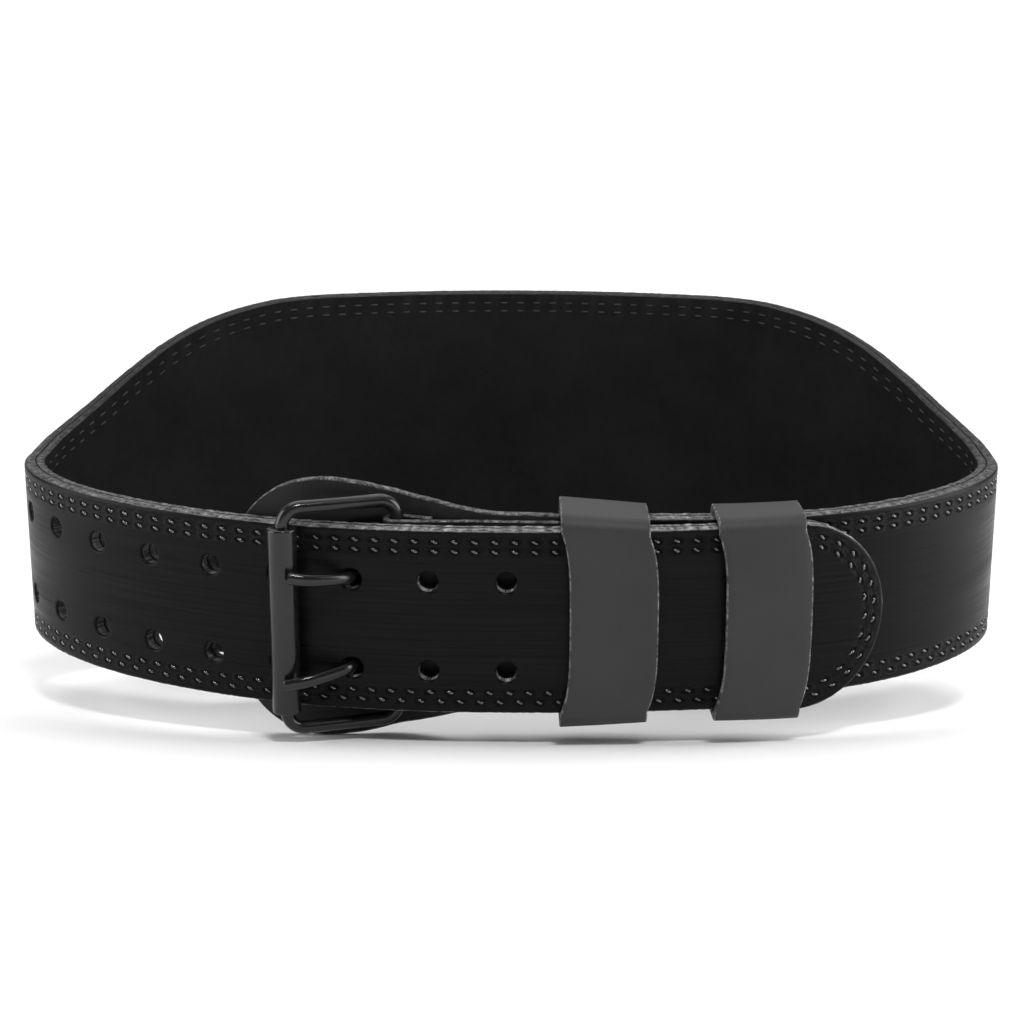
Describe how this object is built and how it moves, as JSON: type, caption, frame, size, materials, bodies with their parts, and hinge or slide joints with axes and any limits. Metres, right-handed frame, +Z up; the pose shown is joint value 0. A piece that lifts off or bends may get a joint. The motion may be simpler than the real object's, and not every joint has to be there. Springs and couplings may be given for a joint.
{
  "type": "weightlifting belt",
  "caption": "Fastened leather weightlifting belt: a stiff two-ply strap that widens to a tall back, closed by a prong roller buckle and tucked under keepers.",
  "frame": {"origin": "middle of the bounding box, on the floor that the belt rests on", "axes": "+X to the buckle side's right seen from the front, +Y from the buckle to the tall back, +Z up"},
  "size_m": [0.3576, 0.2144, 0.1527],
  "materials": {
    "smooth_leather": "brushed semi-gloss black",
    "suede": "matt black suede",
    "grain_leather": "satin black",
    "keeper_leather": "matt black",
    "black_metal": "satin black"
  },
  "bodies": {
    "root": {"belt_outer": "smooth_leather", "belt_lining": "suede", "buckle_guard": "grain_leather", "buckle_fold": "grain_leather", "buckle_frame": "black_metal", "buckle_roller": "black_metal", "prong_upper": "black_metal", "prong_lower": "black_metal", "keeper_left": "keeper_leather", "keeper_right": "keeper_leather"}
  },
  "joints": []
}
